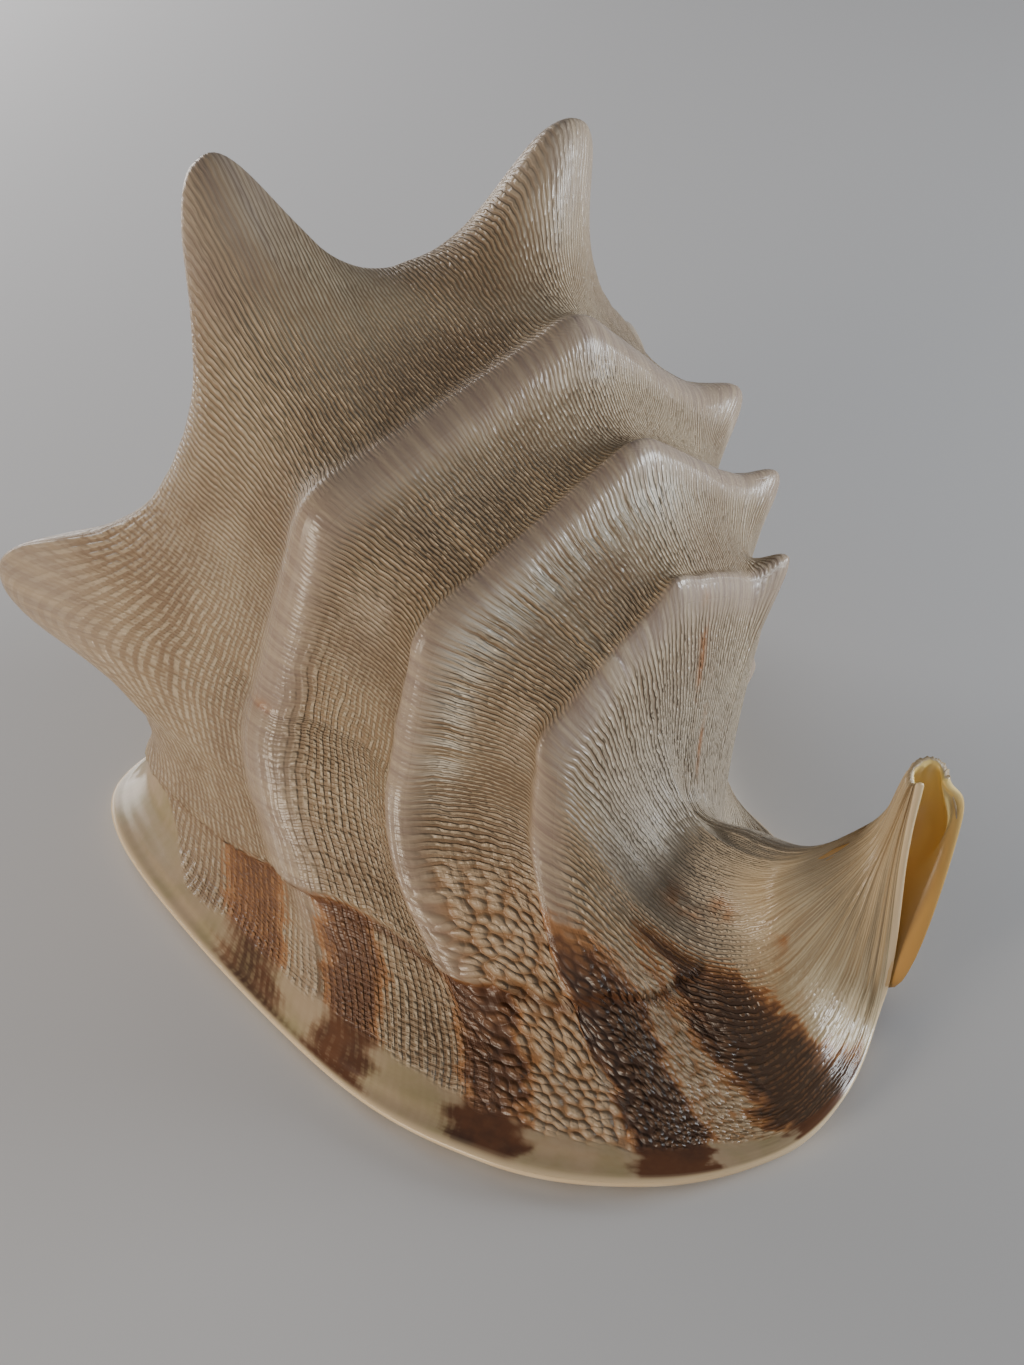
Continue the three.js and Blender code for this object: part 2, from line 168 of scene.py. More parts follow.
def hermite(t, start, start_pull, end, end_pull):
    t = np.asarray(t, float)[..., None]
    point = (2 * t**3 - 3 * t**2 + 1) * start + (t**3 - 2 * t**2 + t) * start_pull
    return point + (-2 * t**3 + 3 * t**2) * end + (t**3 - t**2) * end_pull


def inward_from(edge, index, body_point):
    """Unit direction from an edge point in towards the body, square to the edge."""
    last = len(SECTIONS) - 1
    here, before, after = (
        np.array(SECTIONS[min(max(i, 0), last)][edge], float) for i in (index, index - 1, index + 1)
    )
    along = unit(after - before)
    inward = body_point - here
    inward = inward - along * (inward @ along)
    if index + FIRST_STATION < CANAL_STATION:
        inward[2] = 0
    return unit(inward)


def ring_points(index, angles):
    section = SECTIONS[index]
    plain_to = section.get("plain_to", PLAIN_TO)
    points = plain_point(section, angles)
    sides = (
        ("lip", angles > plain_to, plain_to, LIP_EDGE_ANGLE, section["flare"], 1),
        ("shield", angles < PLAIN_FROM, PLAIN_FROM, SHIELD_EDGE_ANGLE, section["spread"], -1),
    )
    for edge, chosen, base, end, (body_pull, edge_pull), sign in sides:
        start = plain_point(section, base)
        start_pull = unit(start - plain_point(section, base - sign * SMALL_ANGLE)) * body_pull
        end_pull = inward_from(edge, index, start) * -edge_pull
        t = (angles[chosen] - base) / (end - base)
        points[chosen] = hermite(t, start, start_pull, np.array(section[edge], float), end_pull)
    return points


def through_sections(stations, rings):
    """Smooth surface through one ring of points per section, at each station."""
    last = len(rings) - 1
    place = np.clip(stations - FIRST_STATION, 0, last)
    index = np.minimum(place.astype(int), last - 1)
    t = (place - index).reshape((-1,) + (1,) * (rings.ndim - 1))
    before = np.concatenate([[2 * rings[0] - rings[1]], rings[:-1]])
    after = np.concatenate([rings[1:], [2 * rings[last] - rings[last - 1]]])
    a, b, c, d = before[index], rings[index], rings[index + 1], after[index + 1]
    return 0.5 * (2 * b + (c - a) * t + (2 * a - 5 * b + 4 * c - d) * t**2 + (3 * b - a - 3 * c + d) * t**3)


def plain_surface(stations, angles):
    return through_sections(stations, np.stack([ring_points(i, angles) for i in range(len(SECTIONS))]))


def relief_strength(angle):
    """Horns, ridges and knobs die out towards the lip and the shield."""
    near = np.clip(1.4 * (angle - PLAIN_TO - 6) / (LIP_EDGE_ANGLE - PLAIN_TO - 6), 0, 1)
    far = np.clip(1.5 * (PLAIN_FROM - angle) / (PLAIN_FROM - SHIELD_EDGE_ANGLE), 0, 1)
    return (1 - near * near) * (1 - far)


def horn_sizes(angle, station):
    """Share of its full height that each horn has at each point."""
    lean = RIDGES[0][1] * np.clip(station, 0, 1)
    along = station / np.where(station > 0, HORN_FRONT, HORN_REAR)
    fade = relief_strength(angle) * np.clip((1.2 - station) / 0.9, 0, 1)
    sizes = []
    for number in range(len(HORNS)):
        around = (angle - FIRST_HORN_ANGLE + number * HORN_PITCH - lean) / HORN_WIDTH
        sizes.append(fade / (1 + (around**2 + along**2) ** HORN_ROUNDNESS))
    return sizes


def horn_relief(angle, station):
    relief = np.zeros(angle.shape + (3,))
    for (height, back, aside), size in zip(HORNS, horn_sizes(angle, station)):
        reach = (height * size)[..., None]
        level = np.cos(radians(back))
        relief += reach * level * np.cos(radians(aside)) * outward(angle)
        relief += reach * level * np.sin(radians(aside)) * outward(angle + 90)
        relief -= reach * np.sin(radians(back)) * AXIS
    return relief


def ridge_height(angle, station):
    height = np.zeros(angle.shape)
    far = 1 - smooth_step(-50, -10, angle)
    for ridge_station, skew, cord, swell, knob in RIDGES:
        across = station - ridge_station
        swelling = -0.5
        knobs = 0
        for number in range(-1, 5):
            away = angle - (FIRST_HORN_ANGLE - number * HORN_PITCH + skew)
            swelling = swelling + 1 / (1 + (away / SWELL_WIDTH) ** 2)
            if number > 0:
                knobs = knobs + KNOB_SIZES[number - 1] * bell(away, KNOB_WIDTH)
        height += (1 - CORD_FADE * far) * cord * np.exp(-((across / CORD_WIDTH) ** 4))
        height += swell * swelling * bell(across, SWELL_LENGTH - FAR_SHORTER * far)
        height += knob * knobs * bell(across - KNOB_SHIFT, KNOB_LENGTH)
    return height * relief_strength(angle)


# ---------------------------------------------------------------- the outside
# Relative closeness of columns round the whorl and of rows along it.
OUTSIDE_COLUMNS = 300
BODY_ROWS = 212
CAP_STATION = -1.6

# The old lip and the edge of the smooth strip: station and growth angle of each point.
SCAR = [(-0.4, 128), (0.5, 122), (1, 116), (1.7, 119), (2.7, 118), (3.4, 107), (4.1, 86), (4.6, 60)]
GRAIN_HEIGHT = 0.4
SCAR_DEPTH = 3
SCAR_SWELL = 0.9
SCAR_CHIP = dict(station=2.4, half_length=0.26, width=4, depth=2.2)
STRIP = [(-0.5, 122), (0, 126), (0.18, 131), (0.36, 139), (0.6, 136), (1.1, 134.5), (1.5, 137),
         (1.9, 140.5), (3.1, 140.5), (3.8, 137), (4.6, 140), (5.4, 146), (8, 147)]
NECK_MIDDLE = 4.15
NECK_LENGTH = 0.55
NECK_PASSES = 160
SCRATCH = [(2.1, 25), (2.8, 29), (3.5, 17), (4, -25)]


def along_line(points, station):
    """Growth angle of a line drawn across the stations."""
    return np.interp(station, [p[0] for p in points], [p[1] for p in points])


def spaced(low, high, count, closeness):
    """count values from low to high, closer together where closeness is larger."""
    fine = np.linspace(low, high, 4000)
    total = np.concatenate([[0], np.cumsum(closeness(fine))[:-1]])
    return np.interp(np.linspace(0, total[-1], count), total, fine)


def column_closeness(angle):
    closeness = 1 + 0.75 * smooth_step(84, 100, angle)
    for number in range(len(HORNS)):
        closeness = closeness + 1.4 * bell(angle - FIRST_HORN_ANGLE + number * HORN_PITCH, 11)
    return closeness


def row_closeness(station):
    closeness = 1 - 0.5 * smooth_step(4, 5, station) + 1.6 * bell(station, 0.4)
    for ridge_station, *_ in RIDGES:
        closeness = closeness + 0.5 * bell(station - ridge_station, 0.25)
    return closeness


def value_noise(x, y, seed):
    """Smooth noise between -1 and 1 with one bump per unit."""
    table = np.random.default_rng(seed).uniform(-1, 1, (64, 64))
    column, row = np.floor(x).astype(int), np.floor(y).astype(int)
    u, w = x - column, y - row
    u, w = u * u * (3 - 2 * u), w * w * (3 - 2 * w)

    def corner(i, j):
        return table[(column + i) % 64, (row + j) % 64]

    low = corner(0, 0) * (1 - u) + corner(1, 0) * u
    return low * (1 - w) + (corner(0, 1) * (1 - u) + corner(1, 1) * u) * w


def crest_share(angle, station):
    """How far a point lies on the smooth top of a ridge."""
    crest = np.zeros(angle.shape)
    for ridge_station, *_ in RIDGES:
        crest = np.maximum(crest, np.exp(-(((station - ridge_station) / CORD_WIDTH) ** 4)))
    return crest


def growth_waves(angle, station):
    waves = 0.3 * value_noise(angle / 3.1, station / 2.5, 1) + 0.35 * value_noise(angle / 7, station / 2, 2)
    return waves * (1 - 0.6 * crest_share(angle, station))


def coarse_share(angle, station):
    """Where the surface is broken into coarse grains: above and below the old lip."""
    along = smooth_step(1.6, 2.1, station) * (1 - smooth_step(4.1, 4.7, station))
    return smooth_step(92, 108, angle) * along


def grains(angle, station):
    """Rows of grains about 3.5 mm apart, uneven in height."""
    row = 38 * station / 3.4 + 0.25 * value_noise(angle / 9, station * 3, 3)
    column = angle / 2.2 + 0.35 * value_noise(angle / 5, station * 4, 4)
    grain = (np.cos(2 * np.pi * row) * 0.5 + 0.5) * (np.cos(2 * np.pi * column) * 0.5 + 0.5)
    return grain * (1.0 + 0.6 * value_noise(column, row, 5))


def old_lip_step(angle, station):
    """The old lip stands over the skirt that grew out from under it."""
    past = angle - along_line(SCAR, station) - 0.9 * value_noise(station * 7, station * 0, 6)
    step = -SCAR_DEPTH * smooth_step(-0.5, 0.5, past) * (1 - smooth_step(5, 22, past))
    step += SCAR_SWELL * smooth_step(-9, -1, past) * (1 - smooth_step(-0.5, 0.5, past))
    chip = bell(station - SCAR_CHIP["station"], SCAR_CHIP["half_length"])
    broken = smooth_step(-0.4, 0.4, past) * (1 - smooth_step(1, SCAR_CHIP["width"], past))
    step -= SCAR_CHIP["depth"] * chip * broken
    return step * smooth_step(-1.2, -0.5, station) * (1 - smooth_step(3.9, 4.3, station))


def fine_relief(angle, station):
    """Height of the finer shapes above the coil's own surface."""
    height = growth_waves(angle, station)
    height += GRAIN_HEIGHT * coarse_share(angle, station) * grains(angle, station)
    height += old_lip_step(angle, station)
    scratch = bell(angle - along_line(SCRATCH, station), 0.8)
    height -= 0.45 * scratch * smooth_step(2.0, 2.2, station) * (1 - smooth_step(3.9, 4.0, station))
    return height * (1 - smooth_step(LIP_EDGE_ANGLE - 8, LIP_EDGE_ANGLE - 2, angle))


def surface_normals(points):
    """Directions out of a grid of points whose rows are stations and columns are angles."""
    across = np.gradient(points, axis=1)
    along = np.gradient(points, axis=0)
    return unit(np.cross(across, along))


def neck_share(angle, station):
    """Where the body flows into the canal without a crease."""
    along = bell(station - NECK_MIDDLE, NECK_LENGTH)
    return along * smooth_step(-5, 25, angle) * (1 - smooth_step(85, 125, angle))


def softened(points, share, passes):
    """The surface evened out along the shell where share is above 0."""
    points = points.copy()
    for _ in range(passes):
        middle = (points[:-2] + points[2:]) / 2
        points[1:-1] += share[1:-1, :, None] * (middle - points[1:-1])
    return points


def outside(stations, angles):
    angle, station = np.meshgrid(angles, stations)
    points = plain_surface(stations, angles) + horn_relief(angle, station)
    points = points + ridge_height(angle, station)[..., None] * outward(angle)
    points = softened(points, neck_share(angle, station), NECK_PASSES)
    return points + fine_relief(angle, station)[..., None] * surface_normals(points)


# ---------------------------------------------------------------- rim, mouth side and hollow
LIP_COLUMNS = 16
SHIELD_COLUMNS = 26
RIM_TURNS = (30, 60, 90, 120, 150)
MOUTH_FROM = 0.0
MOUTH_TO = 3.6
MOUTH_FROM_BAND = 31
MOUTH_WIDTH = 35
MOUTH_ROUNDING = 4
MOUTH_RISE = 3
GUTTER_SEAM = 0.42
GUTTER_SPREADS = (3.6, 4.4)
GUTTER_RISES = (4.1, 5.2)
CANAL_CLOSES = (5.5, 6.1)
CANAL_TIP_WALL = 2.4
TEETH = dict(count=7, first=0.75, last=3.1, reach=6, width=0.11, proud=1.7, fade=9)
FOLDS = dict(count=10, first=0.5, last=3.2, reach=3.5, width=0.07, proud=1.3, fade=17)
HOLLOW_TURN = 60
HOLLOW_END = -90
HOLLOW_STATIONS = (-0.6, 2.0)
HOLLOW_OUTER_PULL = 45
HOLLOW_INNER_PULL = 30
HOLLOW_LOW_END = 0.92
HOLLOW_AXIALS = (-62, 30)
HOLLOW_RADII = (46, 9)
HOLLOW_MOUTH_RINGS = 12
HOLLOW_COIL_RINGS = 9


def inner_surface(stations, angles, wall):
    """The plain surface moved in by the wall's thickness."""
    points = plain_surface(stations, angles)
    across = plain_surface(stations, angles + SMALL_ANGLE) - plain_surface(stations, angles - SMALL_ANGLE)
    along = plain_surface(stations + SMALL_STATION, angles) - plain_surface(stations - SMALL_STATION, angles)
    return points - wall * unit(np.cross(across, along))


def edge_lines(stations):
    """Bottom of each rim, and where each rim's band meets the flat, along the shell."""
    lines = {"lip": [], "lip_band": [], "shield_band": [], "shield": []}
    for index, section in enumerate(SECTIONS):
        height = section["lip"][2] - RIM_DROP if index == 0 else 0.0
        for edge, base in (("lip", PLAIN_TO), ("shield", PLAIN_FROM)):
            point = np.array(section[edge], float)
            inward = inward_from(edge, index, plain_point(section, base))
            lines[edge].append(point + inward * RIM_INSET - UP * RIM_DROP)
            band = point + inward * BAND
            lines[edge + "_band"].append([band[0], band[1], height])
    return {name: through_sections(stations, np.array(points)) for name, points in lines.items()}


def toothed(station, teeth):
    """Row of rounded teeth along the mouth, 1 at a tooth's middle."""
    middles = np.linspace(teeth["first"], teeth["last"], teeth["count"])
    return sum(bell(station - middle, teeth["width"]) for middle in middles)


def mouth_edges(stations, length):
    """Distance from the lip's band to each side of the mouth."""
    open_share = np.clip((stations - MOUTH_FROM) / (MOUTH_TO - MOUTH_FROM), 0, 1)
    width = MOUTH_WIDTH * np.sin(np.pi * open_share**0.9) ** 0.75
    near = np.minimum(MOUTH_FROM_BAND, 0.45 * length)
    narrowing = np.clip(width / 20, 0, 1)
    far = near + width - FOLDS["reach"] * toothed(stations, FOLDS) * narrowing
    return near + TEETH["reach"] * toothed(stations, TEETH) * narrowing, far


def under_height(distance, station, teeth):
    """Height of the mouth side at a distance from the mouth's edge."""
    fade = smooth_step(-0.8, 0.2, station)
    rise = MOUTH_RISE * np.exp(-((distance / 13) ** 2)) * fade
    inside = np.clip(MOUTH_ROUNDING - distance, 0, MOUTH_ROUNDING)
    rise += (MOUTH_ROUNDING - np.sqrt(MOUTH_ROUNDING**2 - inside**2)) * fade
    proud = teeth["proud"] * toothed(station, teeth) * np.exp(-((distance / teeth["fade"]) ** 2))
    return np.maximum(rise - proud, 0.05)


def canal_lining(stations, angles):
    """The inside of the canal: the outside moved in by the wall, towards the middle of the gutter."""
    outer = plain_surface(stations, angles)
    count = len(angles)
    away = np.maximum(np.abs(np.arange(count) - (count - 1) / 2), 0.22 * count)
    low = np.clip(np.round((count - 1) / 2 - away), 0, count - 1).astype(int)
    middle = (outer[:, low] + outer[:, count - 1 - low]) / 2
    closed = outer + CANAL_TIP_WALL * unit(middle - outer)
    share = smooth_step(*CANAL_CLOSES, stations)[:, None, None]
    return inner_surface(stations, angles, CANAL_WALL) * (1 - share) + closed * share


def flattened(flat, gutter, across, rise):
    """The flat mouth side turning into the gutter: first across, then up."""
    points = flat * (1 - across) + gutter * across
    points[..., 2] = np.maximum(flat[..., 2] * (1 - across[..., 0]) + gutter[..., 2] * rise, 0.05)
    return points


def mouth_side(stations):
    """Lip and shield halves of the under side, meeting along the mouth."""
    lines = edge_lines(stations)
    span = lines["shield_band"] - lines["lip_band"]
    length = np.linalg.norm(span, axis=1)
    near, far = mouth_edges(stations, length)
    station = stations[:, None]
    steps = np.linspace(0, 1, LIP_COLUMNS) ** 0.7
    lip_distance = near[:, None] * steps
    lip = lines["lip_band"][:, None] + span[:, None] * (lip_distance / length[:, None])[..., None]
    lip[..., 2] += under_height(near[:, None] - lip_distance, station, TEETH)
    steps = np.linspace(0, 1, SHIELD_COLUMNS) ** 1.5
    shield_distance = far[:, None] + (length - far)[:, None] * steps
    back = (shield_distance / length[:, None] - 1)[..., None]
    shield = lines["shield_band"][:, None] + span[:, None] * back
    shield[..., 2] += under_height(shield_distance - far[:, None], station, FOLDS)
    shares = np.concatenate([np.linspace(0, GUTTER_SEAM, LIP_COLUMNS),
                             np.linspace(GUTTER_SEAM, 1, SHIELD_COLUMNS)])
    angles = LIP_EDGE_ANGLE - GUTTER_INSET + shares * (
        SHIELD_EDGE_ANGLE - LIP_EDGE_ANGLE + 2 * GUTTER_INSET)
    gutter = canal_lining(stations, angles)
    across = smooth_step(*GUTTER_SPREADS, station)[..., None]
    rise = smooth_step(*GUTTER_RISES, station)
    whole = flattened(np.concatenate([lip, shield], axis=1), gutter, across, rise)
    rims = np.stack([lines["lip"], lines["shield"]], axis=1)
    ends = flattened(rims, gutter[:, [0, -1]], across, rise)
    return whole, [ends[:, 0], ends[:, 1]]


def rim_columns(edge_points, inner_points, away):
    """A rounded edge from the outside round to the under side."""
    middle = (edge_points + inner_points) / 2
    columns = []
    for turn in RIM_TURNS:
        bulge = away * RIM_BULGE * np.sin(radians(turn))
        columns.append(middle + (edge_points - middle) * np.cos(radians(turn)) + bulge)
    return np.stack(columns, axis=1)


def hollow_rings(stations, lip_edge, shield_edge):
    """Rings from the mouth's edge up and back along the coil, lip side out and shield side back."""
    share = (stations - stations[0]) / (stations[-1] - stations[0])
    wall_stations = HOLLOW_STATIONS[0] + share * (HOLLOW_STATIONS[1] - HOLLOW_STATIONS[0])
    axials = HOLLOW_AXIALS[0] + share * (HOLLOW_AXIALS[1] - HOLLOW_AXIALS[0])
    radii = HOLLOW_RADII[0] + share * (HOLLOW_RADII[1] - HOLLOW_RADII[0])

    def wall_at(turn):
        outer = inner_surface(wall_stations, np.array([float(turn)]), WALL)[:, 0]
        inner = coil_point(np.full(len(share), float(turn)), axials, radii)
        return np.concatenate([outer, inner[::-1]])

    start, before = wall_at(HOLLOW_TURN), wall_at(HOLLOW_TURN - SMALL_ANGLE)
    end = np.concatenate([lip_edge, shield_edge[::-1]])
    low_end = 1 - HOLLOW_LOW_END * smooth_step(0.5, 1, share)
    pull = np.concatenate([HOLLOW_OUTER_PULL * low_end, HOLLOW_INNER_PULL * low_end[::-1]])[:, None]
    start_pull = unit(start - before) * pull
    rings = []
    for t in np.linspace(1, 0, HOLLOW_MOUTH_RINGS + 1)[1:]:
        rings.append(hermite(np.full(len(end), t), start, start_pull, end, -UP * pull))
    for turn in np.linspace(HOLLOW_TURN, HOLLOW_END, HOLLOW_COIL_RINGS + 1)[1:]:
        rings.append(wall_at(turn))
    return np.stack(rings)


# ---------------------------------------------------------------- spire
SPIRE_RADIUS = 46
SPIRE_SHOULDER = -74
SPIRE_TOP = -99
SPIRE_START = 28
SPIRE_ROWS = 20
SPIRE_GROOVE = 1.6
SPIRE_SWELL = 2.6
SPIRE_KNOBS = 7
SPIRE_KNOB = 2.4


def spire_axial(angle, radius):
    """How far along the axis the early whorls lie: a cone with a spiral groove and small knobs."""
    whorl = 2 * np.pi * GROWTH_PER_RADIAN
    place = np.log(np.maximum(radius, 0.5) / (SPIRE_START * np.exp(GROWTH_PER_RADIAN * angle))) / whorl
    share = place - np.floor(place)
    size = np.clip(radius / SPIRE_RADIUS, 0, 1)
    around = 0.5 + 0.5 * np.cos(SPIRE_KNOBS * angle + 2 * np.pi * place)
    knobs = SPIRE_KNOB * bell(share - 0.62, 0.2) * around
    relief = SPIRE_SWELL * np.sin(np.pi * share) ** 0.7 - SPIRE_GROOVE + knobs
    return SPIRE_TOP + (SPIRE_SHOULDER - SPIRE_TOP) * size - relief * np.sqrt(size)


def spire_rings(loop):
    """Rings of the spire's surface inside the first loop of the body."""
    offset = loop - AXIS_HEIGHT * UP
    along = offset @ AXIS
    radial = offset - along[:, None] * AXIS
    radius = np.linalg.norm(radial, axis=1)
    angle = np.arctan2(radial @ LIPWARD, radial @ DORSAL)
    step = along - spire_axial(angle, radius)
    rings = []
    for share in np.linspace(0, 1, SPIRE_ROWS + 1)[1:]:
        ring_radius = radius * (1 - share) ** 0.85
        ring_along = spire_axial(angle, ring_radius) + step * (1 - share) ** 5
        ring = AXIS_HEIGHT * UP + ring_along[:, None] * AXIS + unit(radial) * ring_radius[:, None]
        rings.append(ring)
    return np.stack(rings)


# ---------------------------------------------------------------- one closed mesh
TIP_ROUNDING = 1.0


class Builder:
    """Vertices with their marks, and faces between them."""

    def __init__(self):
        self.points = []
        self.marks = []
        self.faces = []
        self.count = 0

    def add(self, points, marks):
        """Adds a grid of points and returns their numbers."""
        flat = points.reshape(-1, 3)
        numbers = np.arange(self.count, self.count + len(flat)).reshape(points.shape[:-1])
        self.points.append(flat)
        self.marks.append(marks.reshape(len(flat), -1))
        self.count += len(flat)
        return numbers

    def skin(self, numbers):
        """Faces between neighbouring rows and columns."""
        corners = [numbers[:-1, :-1], numbers[:-1, 1:], numbers[1:, 1:], numbers[1:, :-1]]
        self.faces.extend(np.stack(corners, axis=-1).reshape(-1, 4).tolist())


def zipped(first, second):
    """Triangles between two rows of different lengths that start and end side by side."""
    first_end, second_end = len(first) - 1, len(second) - 1
    i = j = 0
    triangles = []
    while i < first_end or j < second_end:
        first_behind = j == second_end or (i + 1) * second_end <= (j + 1) * first_end
        if first_behind and i < first_end:
            triangles.append([first[i], first[i + 1], second[j]])
            i += 1
        else:
            triangles.append([first[i], second[j + 1], second[j]])
            j += 1
    return triangles


def shell_mesh_data():
    """Points, marks and faces of the whole shell, in the coil's frame."""
    angles = spaced(SHIELD_EDGE_ANGLE, LIP_EDGE_ANGLE, OUTSIDE_COLUMNS, column_closeness)
    stations = spaced(CAP_STATION, LAST_STATION, BODY_ROWS, row_closeness)
    angle, station = np.meshgrid(angles, stations)
    outer = outside(stations, angles)
    under, (lip_bottom, shield_bottom) = mouth_side(stations)
    lip_rim = rim_columns(outer[:, -1], lip_bottom, unit(outer[:, -1] - outer[:, -3]))
    shield_rim = rim_columns(outer[:, 0], shield_bottom, unit(outer[:, 0] - outer[:, 2]))
    parts = [outer, lip_rim, lip_bottom[:, None], under, shield_bottom[:, None], shield_rim[:, ::-1]]
    loop = np.concatenate(parts, axis=1)
    marks = loop_marks(outer, angle, station, loop.shape[1])
    builder = Builder()
    tip = rounded_tip(loop, OUTSIDE_COLUMNS)
    loop = np.concatenate([loop, tip])
    marks = np.concatenate([marks, np.repeat(marks[-1:], len(tip), axis=0)])
    numbers = builder.add(loop, marks)
    lip_edge = OUTSIDE_COLUMNS + len(RIM_TURNS) + LIP_COLUMNS
    shield_edge = lip_edge + 1
    rows = np.flatnonzero((stations >= MOUTH_FROM) & (stations <= MOUTH_TO))
    closed = np.ones(len(loop), bool)
    closed[rows[1:-1]] = False
    numbers[closed, shield_edge] = numbers[closed, lip_edge]
    builder.skin(numbers[:, : lip_edge + 1])
    builder.skin(np.concatenate([numbers[:, shield_edge:], numbers[:, :1]], axis=1))
    add_hollow(builder, stations[rows], numbers[rows, lip_edge], numbers[rows, shield_edge], loop, rows,
               lip_edge, shield_edge)
    add_spire(builder, loop[0], numbers[0], marks[0])
    close_tip(builder, numbers[-1], OUTSIDE_COLUMNS)
    return builder


def rounded_tip(loop, outside_count):
    """Two more rows that round the canal's end over towards the middle of its wall."""
    last = loop[-1]
    outer, inner = last[:outside_count], last[outside_count:][::-1]
    share = np.linspace(0, 1, outside_count)
    inner_share = np.linspace(0, 1, len(inner))
    across = np.stack([np.interp(share, inner_share, inner[:, i]) for i in range(3)], axis=1)
    back = np.stack([np.interp(inner_share, share, outer[:, i]) for i in range(3)], axis=1)
    middle = np.concatenate([(outer + across) / 2, ((inner + back) / 2)[::-1]])
    ahead = unit(loop[-1] - loop[-2])
    rows = []
    for turn in (35, 70):
        inward = 1 - np.cos(radians(turn))
        row = last + (middle - last) * inward + ahead * TIP_ROUNDING * np.sin(radians(turn))
        rows.append(row)
    return np.stack(rows)


def close_tip(builder, numbers, outside_count):
    outer = numbers[:outside_count].tolist()
    inner = numbers[outside_count:][::-1].tolist()
    builder.faces.extend(zipped(outer, inner))


def add_hollow(builder, stations, lip_numbers, shield_numbers, loop, rows, lip_edge, shield_edge):
    rings = hollow_rings(stations, loop[rows, lip_edge], loop[rows, shield_edge])
    # The whole hollow is painted dark as shade.
    marks = np.tile(mark_values(hollow=1.0, glaze=1.0), rings.shape[:-1] + (1,))
    numbers = builder.add(rings, marks)
    mouth = np.concatenate([lip_numbers, shield_numbers[::-1]])
    numbers = np.concatenate([mouth[None], numbers])
    numbers = np.concatenate([numbers, numbers[:, :1]], axis=1)
    builder.skin(numbers[:, ::-1])
    half = len(stations)
    builder.skin(np.stack([numbers[-1, half : 2 * half][::-1], numbers[-1, :half]]))


def add_spire(builder, loop, numbers, marks):
    rings = spire_rings(loop)
    ring_marks = np.repeat(marks[None], len(rings), axis=0)
    own = builder.add(rings, ring_marks)
    own[-1] = own[-1, 0]
    whole = np.concatenate([numbers[None], own])
    whole[0, :] = numbers
    whole = np.concatenate([whole, whole[:, :1]], axis=1)
    builder.skin(whole[:, ::-1])


MARKS = (
    "thread", "along", "turn", "spiral", "crest", "coarse", "brown", "strip", "glaze", "gold", "hollow",
    "neck", "rust", "edge", "tooth", "fringe", "shade", "fan", "tip", "calm",
)


def mark_values(**given):
    return np.array([float(given.get(name, 0)) for name in MARKS])


THREADS_PER_DEGREE = [(-0.02, 1.5), (0.98, 1.3), (1.98, 1.1), (2.98, 0.8), (9, 0.5)]


def thread_phase(angle, station):
    """Growth threads counted round the whorl: fewer of them between the later ridges."""
    phase = np.zeros(angle.shape)
    low = -9
    for high, per_degree in THREADS_PER_DEGREE:
        phase = np.where((station > low) & (station <= high), angle * per_degree, phase)
        low = high
    return phase


# Brown blotches across the lip: station, half length, growth angle where each starts, and lean.
BLOTCHES = [
    dict(station=0.66, half=0.15, start=None, lean=0.002, strength=0.6),
    dict(station=1.18, half=0.17, start=None, lean=-0.004, strength=0.72),
    dict(station=2.04, half=0.25, start=None, lean=-0.004, strength=0.85),
    dict(station=3.22, half=0.3, start=104, lean=0.002, strength=1.3),
    dict(station=4.7, half=0.62, start=84, lean=0.012, strength=1.15),
]


def brown_share(angle, station):
    """Soft shapes of the brown blotches that cross the lip. Most start at the old lip."""
    share = np.zeros(angle.shape)
    scar = along_line(SCAR, station)
    ragged = 0.25 * value_noise(angle / 2.3, station * 9, 8) + 0.2 * value_noise(angle / 6, station * 4, 9)
    for blotch in BLOTCHES:
        middle = blotch["station"] + blotch["lean"] * (angle - 128)
        across = np.abs(station - middle) / blotch["half"] + ragged
        start = scar if blotch["start"] is None else blotch["start"]
        blur = 1.5 if blotch["start"] is None else 11
        inside = 1 - smooth_step(0.5, 1.35, across)
        share = np.maximum(share, blotch["strength"] * inside * smooth_step(-blur, blur, angle - start))
    return share


RUST_SPOTS = [(4.78, 58, 0.22, 9), (5.65, 76, 0.25, 8), (4.15, 64, 0.2, 8), (5.1, 90, 0.3, 10)]
OCHRE_SPOTS = [(3.68, -22, 0.2, 2.5), (3.3, -12, 0.25, 2), (0.98, 85, 0.05, 1.6)]


def rust_share(angle, station):
    share = np.zeros(angle.shape)
    for middle, turn, length, width in RUST_SPOTS + OCHRE_SPOTS:
        share = np.maximum(share, bell(station - middle, length) * bell(angle - turn, width))
    return share


